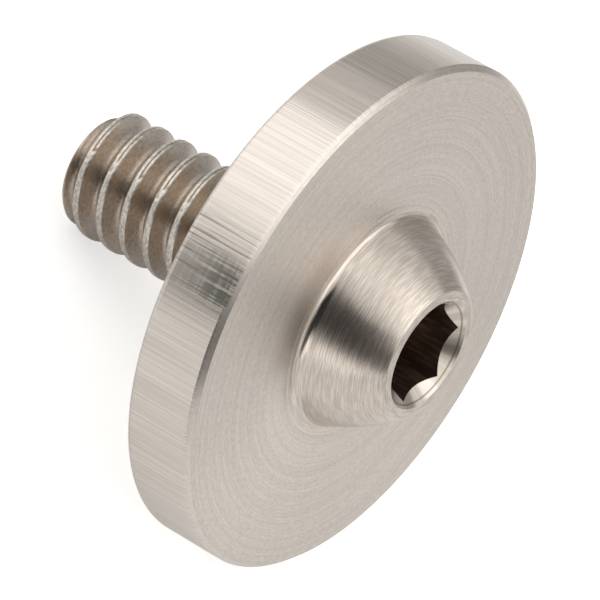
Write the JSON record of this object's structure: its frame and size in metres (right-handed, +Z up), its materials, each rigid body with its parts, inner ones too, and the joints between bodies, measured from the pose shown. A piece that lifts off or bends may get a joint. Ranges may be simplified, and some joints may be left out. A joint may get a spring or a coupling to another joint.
{
  "type": "flange head machine screw",
  "caption": "Short machine screw with a wide flange, a domed hexagon-socket head and a right-hand thread, lying on its rim and tip.",
  "frame": {"origin": "on the bench, under the centre of the lying screw's bounding box", "axes": "+Z up from the bench; the screw's axis lies in the XZ plane and rises 38.3 degrees towards +X, head up; +Y along the flange's diameter"},
  "size_m": [0.0164, 0.019, 0.0164],
  "materials": {
    "steel": "fine-turned plain stainless steel, rolled thread, dark socket"
  },
  "bodies": {
    "root": {"flange_screw": "steel"}
  },
  "joints": []
}
